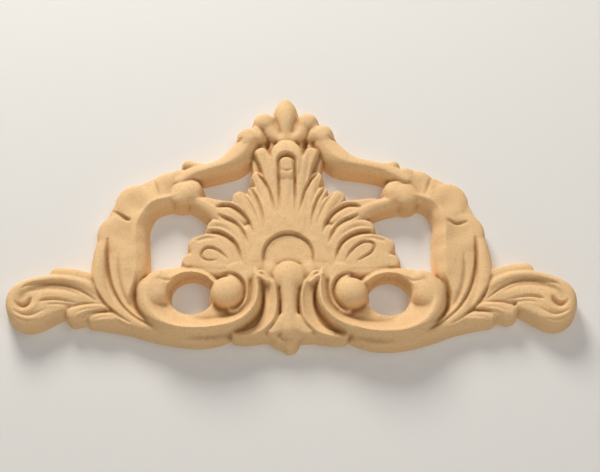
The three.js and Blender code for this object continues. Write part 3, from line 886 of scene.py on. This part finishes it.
# A node socket that plain arithmetic works on
class Wire:
    def __init__(self, socket, tree):
        self.socket = socket
        self.tree = tree

    def math(self, operation, *values):
        node = self.tree.nodes.new("ShaderNodeMath")
        node.operation = operation
        for slot, value in zip(node.inputs, values):
            if isinstance(value, Wire):
                self.tree.links.new(value.socket, slot)
            else:
                slot.default_value = value
        return Wire(node.outputs[0], self.tree)

    def __add__(self, other):
        return self.math("ADD", self, other)

    def __radd__(self, other):
        return self.math("ADD", other, self)

    def __sub__(self, other):
        return self.math("SUBTRACT", self, other)

    def __rsub__(self, other):
        return self.math("SUBTRACT", other, self)

    def __mul__(self, other):
        return self.math("MULTIPLY", self, other)

    def __rmul__(self, other):
        return self.math("MULTIPLY", other, self)

    def __pow__(self, other):
        return self.math("POWER", self, other)

    # what rises above a level, steepened and held between 0 and 1
    def above(self, level, gain):
        return self.math("MINIMUM", self.math("MAXIMUM", (self - level) * gain, 0.0), 1.0)


class Finish:
    def __init__(self, name):
        self.material = bpy.data.materials.new(name)
        self.material.use_nodes = True
        self.tree = self.material.node_tree
        self.shader = self.tree.nodes["Principled BSDF"]

    def node(self, kind, settings=None, output=0, **sockets):
        node = self.tree.nodes.new(kind)
        for key, value in (settings or {}).items():
            setattr(node, key, value)
        for key, value in sockets.items():
            slot = next(s for s in node.inputs if s.enabled and key in (s.name.replace(" ", ""), s.identifier))
            self.feed(slot, value)
        outputs = [s for s in node.outputs if s.enabled]
        found = outputs[output] if isinstance(output, int) else node.outputs[output]
        return Wire(found, self.tree)

    def feed(self, slot, value):
        if isinstance(value, Wire):
            self.tree.links.new(value.socket, slot)
        else:
            slot.default_value = value

    def mixColours(self, share, first, second):
        node = self.tree.nodes.new("ShaderNodeMix")
        node.data_type = "RGBA"
        self.feed(node.inputs[0], share)
        self.feed(node.inputs[6], first)
        self.feed(node.inputs[7], second)
        return Wire(node.outputs[2], self.tree)


woodLook = {
    "pale": (0.88, 0.60, 0.31, 1),
    "honey": (0.78, 0.50, 0.245, 1),
    # painted shade: the dark that the grooves and hollows are painted with
    "hollow": (0.37, 0.185, 0.058, 1),
    "pore": (0.60, 0.37, 0.17, 1),
    "reddish": (0.62, 0.23, 0.10, 1),
    "patchSize": 0.045,  # metres
    "grainSize": 0.0011,  # across the fibres; they run along the panel
    "grainStretch": 9,
    "poreSize": 0.001,
    "roughness": 0.66,
    "bump": 0.00016,
    "hollowReach": 1.6,  # mm; how wide round each point the wood is looked at for the painted shade
    "fullHollow": 0.85,  # mm; how deep a point must lie for the full painted shade
    "paleTails": 0.5,  # how much of the painted shade is left out of the tails' grooves
    "streak": ((97.6, -13), (96.4, -27)),  # ends of the reddish streak, in the outer groove of either flank
    "streakHalf": (0.7, 1.2),  # mm
}


def paintWood():
    finish = Finish("rawCarvedWood")
    spot = finish.node("ShaderNodeTexCoord", output="Object")
    patches = finish.node("ShaderNodeTexNoise", Vector=spot, Scale=1 / woodLook["patchSize"], Detail=3.0)
    pores = finish.node("ShaderNodeTexNoise", Vector=spot, Scale=1 / woodLook["poreSize"], Detail=2.0, Roughness=0.6)
    along = finish.node(
        "ShaderNodeVectorMath", {"operation": "MULTIPLY"}, output="Vector", Vector=spot,
        Vector_001=(1 / woodLook["grainStretch"], 1, 1),
    )
    grain = finish.node("ShaderNodeTexNoise", Vector=along, Scale=1 / woodLook["grainSize"], Detail=3.0, Roughness=0.55)
    # how deep the point lies, read back for the painted shade in grooves and hollows
    depth = finish.node("ShaderNodeAttribute", {"attribute_name": "hollow"}, output="Fac")
    colour = finish.mixColours(patches, woodLook["pale"], woodLook["honey"])
    colour = finish.mixColours(grain.above(0.44, 3.0) * 0.3, colour, woodLook["honey"])
    colour = finish.mixColours(pores.above(0.50, 5.0) * 0.45, colour, woodLook["pore"])
    # painted shade: grooves and hollows darkened in the colour
    colour = finish.mixColours(depth, colour, woodLook["hollow"])
    reddish = finish.node("ShaderNodeAttribute", {"attribute_name": "reddish"}, output="Fac")
    colour = finish.mixColours(reddish * 0.5, colour, woodLook["reddish"])
    finish.feed(finish.shader.inputs["Base Color"], colour)
    finish.feed(finish.shader.inputs["Roughness"], woodLook["roughness"] + pores * 0.12 + grain * 0.06)
    bump = finish.node("ShaderNodeBump", Height=pores + grain * 0.6, Distance=woodLook["bump"], Strength=0.7)
    finish.feed(finish.shader.inputs["Normal"], bump)
    return finish.material


# How deep each point lies below the wood round it, kept on the mesh as painted shade: the colour is darkened in grooves
# and hollows, where shade falls
def paintShadeIntoHollows():
    around = softened(np.maximum(height, 0), woodLook["hollowReach"])
    depth = softened(np.clip((around - height) / woodLook["fullHollow"], 0, 1), 0.35) * easeBetween(4.5, 7, around)
    # less painted shade in the tails' grooves
    depth *= 1 - woodLook["paleTails"] * easeBetween(100, 112, np.abs(gridX))
    spots = np.zeros(len(blank.data.vertices) * 3)
    blank.data.vertices.foreach_get("co", spots)
    spots = spots.reshape(-1, 3) / mm
    column = np.clip((spots[:, 0] - gridX[0, 0]) / cellX, 0, gridX.shape[1] - 1.001)
    row = np.clip((spots[:, 2] - gridZ[0, 0]) / cellZ, 0, gridX.shape[0] - 1.001)
    i, j = row.astype(int), column.astype(int)
    value = depth[i, j] * np.where(spots[:, 1] < -0.5, 1, 0)
    # the painted shade of grooves and hollows, kept per point
    hollow = blank.data.attributes.new("hollow", "FLOAT", "POINT")
    hollow.data.foreach_set("value", value.astype(np.float32))
    streak = np.zeros(len(value))
    (topU, topZ), (endU, endZ) = woodLook["streak"]
    across, up = woodLook["streakHalf"]
    for side in bothSides:
        streakX, streakZ = ontoPanel(np.linspace(topU, endU, 12), np.linspace(topZ, endZ, 12), side)
        for x, z in zip(streakX, streakZ):
            streak = np.maximum(streak, np.exp(-(((spots[:, 0] - x) / across) ** 2) - ((spots[:, 2] - z) / up) ** 2))
    reddish = blank.data.attributes.new("reddish", "FLOAT", "POINT")
    reddish.data.foreach_set("value", streak.astype(np.float32))


# paint shade into the grooves and hollows
paintShadeIntoHollows()
blank.data.materials.clear()
blank.data.materials.append(paintWood())
print("Wood finish made")


# The board that it hangs on and the floor: pale, plain and no part of the object
stage = {"boardColour": (0.80, 0.79, 0.77, 1), "boardGap": 0.0004, "boardSize": 3.0, "floorHeight": -0.9}


def buildStage():
    finish = Finish("paleBoard")
    finish.shader.inputs["Base Color"].default_value = stage["boardColour"]
    finish.shader.inputs["Roughness"].default_value = 0.9
    deselectAll()
    bpy.ops.mesh.primitive_plane_add(
        size=stage["boardSize"], location=(0, stage["boardGap"], 0), rotation=(math.pi / 2, 0, 0)
    )
    board = bpy.context.active_object
    board.name = "backBoard"
    clear = finish.tree.nodes.new("ShaderNodeBsdfTransparent")
    choose = finish.tree.nodes.new("ShaderNodeMixShader")
    behind = finish.node("ShaderNodeNewGeometry", output="Backfacing")
    finish.feed(choose.inputs[0], behind)
    finish.tree.links.new(finish.shader.outputs[0], choose.inputs[1])
    finish.tree.links.new(clear.outputs[0], choose.inputs[2])
    finish.tree.links.new(choose.outputs[0], finish.tree.nodes["Material Output"].inputs[0])
    board.data.materials.append(finish.material)
    board.visible_shadow = False  # so that the sawn back can be lit and looked at too
    deselectAll()
    bpy.ops.mesh.primitive_plane_add(
        size=stage["boardSize"], location=(0, -stage["boardSize"] / 2, stage["floorHeight"])
    )
    floor = bpy.context.active_object
    floor.name = "paleFloor"
    floor.data.materials.append(finish.material)


buildStage()

view = {
    "target": (0.0045, -0.008, -0.0105),
    "distance": 0.560,
    "below": 24,  # degrees that the camera stands below the face's own axis
    "lens": 62.8,
}


def setCamera():
    target = Vector(view["target"])
    below = math.radians(view["below"])
    spot = target + view["distance"] * Vector((0, -math.cos(below), -math.sin(below)))
    data = bpy.data.cameras.new("photoView")
    data.lens = view["lens"]
    data.clip_start = 0.01
    camera = bpy.data.objects.new("photoView", data)
    bpy.context.scene.collection.objects.link(camera)
    camera.location = spot
    camera.rotation_euler = (target - spot).to_track_quat("-Z", "Y").to_euler()
    bpy.context.scene.camera = camera


def addSoftLight(name, spot, size, power, colour):
    data = bpy.data.lights.new(name, "AREA")
    data.shape = "DISK"
    data.size = size
    data.energy = power
    data.color = colour
    lamp = bpy.data.objects.new(name, data)
    bpy.context.scene.collection.objects.link(lamp)
    lamp.location = spot
    lamp.rotation_euler = (-Vector(spot)).to_track_quat("-Z", "Y").to_euler()


# name, spot, size, power and colour; each looks at the middle of the panel
lamps = [
    ("windowAbove", (-0.36, -0.60, 1.05), 0.5, 15.6, (1.0, 0.96, 0.90)),
    ("softFill", (0.3, -1.3, 0.1), 1.2, 5.6, (1.0, 0.97, 0.94)),
    ("behind", (-0.4, 1.3, 0.5), 1.2, 9, (1.0, 0.98, 0.96)),
]
studio = {"airColour": (1.0, 0.98, 0.95, 1), "airStrength": 0.12}

setCamera()
for lamp in lamps:
    addSoftLight(*lamp)
world = bpy.data.worlds.new("studio")
world.use_nodes = True
world.node_tree.nodes["Background"].inputs[0].default_value = studio["airColour"]
world.node_tree.nodes["Background"].inputs[1].default_value = studio["airStrength"]
bpy.context.scene.world = world
bpy.context.scene.view_settings.view_transform = "Standard"
print("Stage, light and camera set")
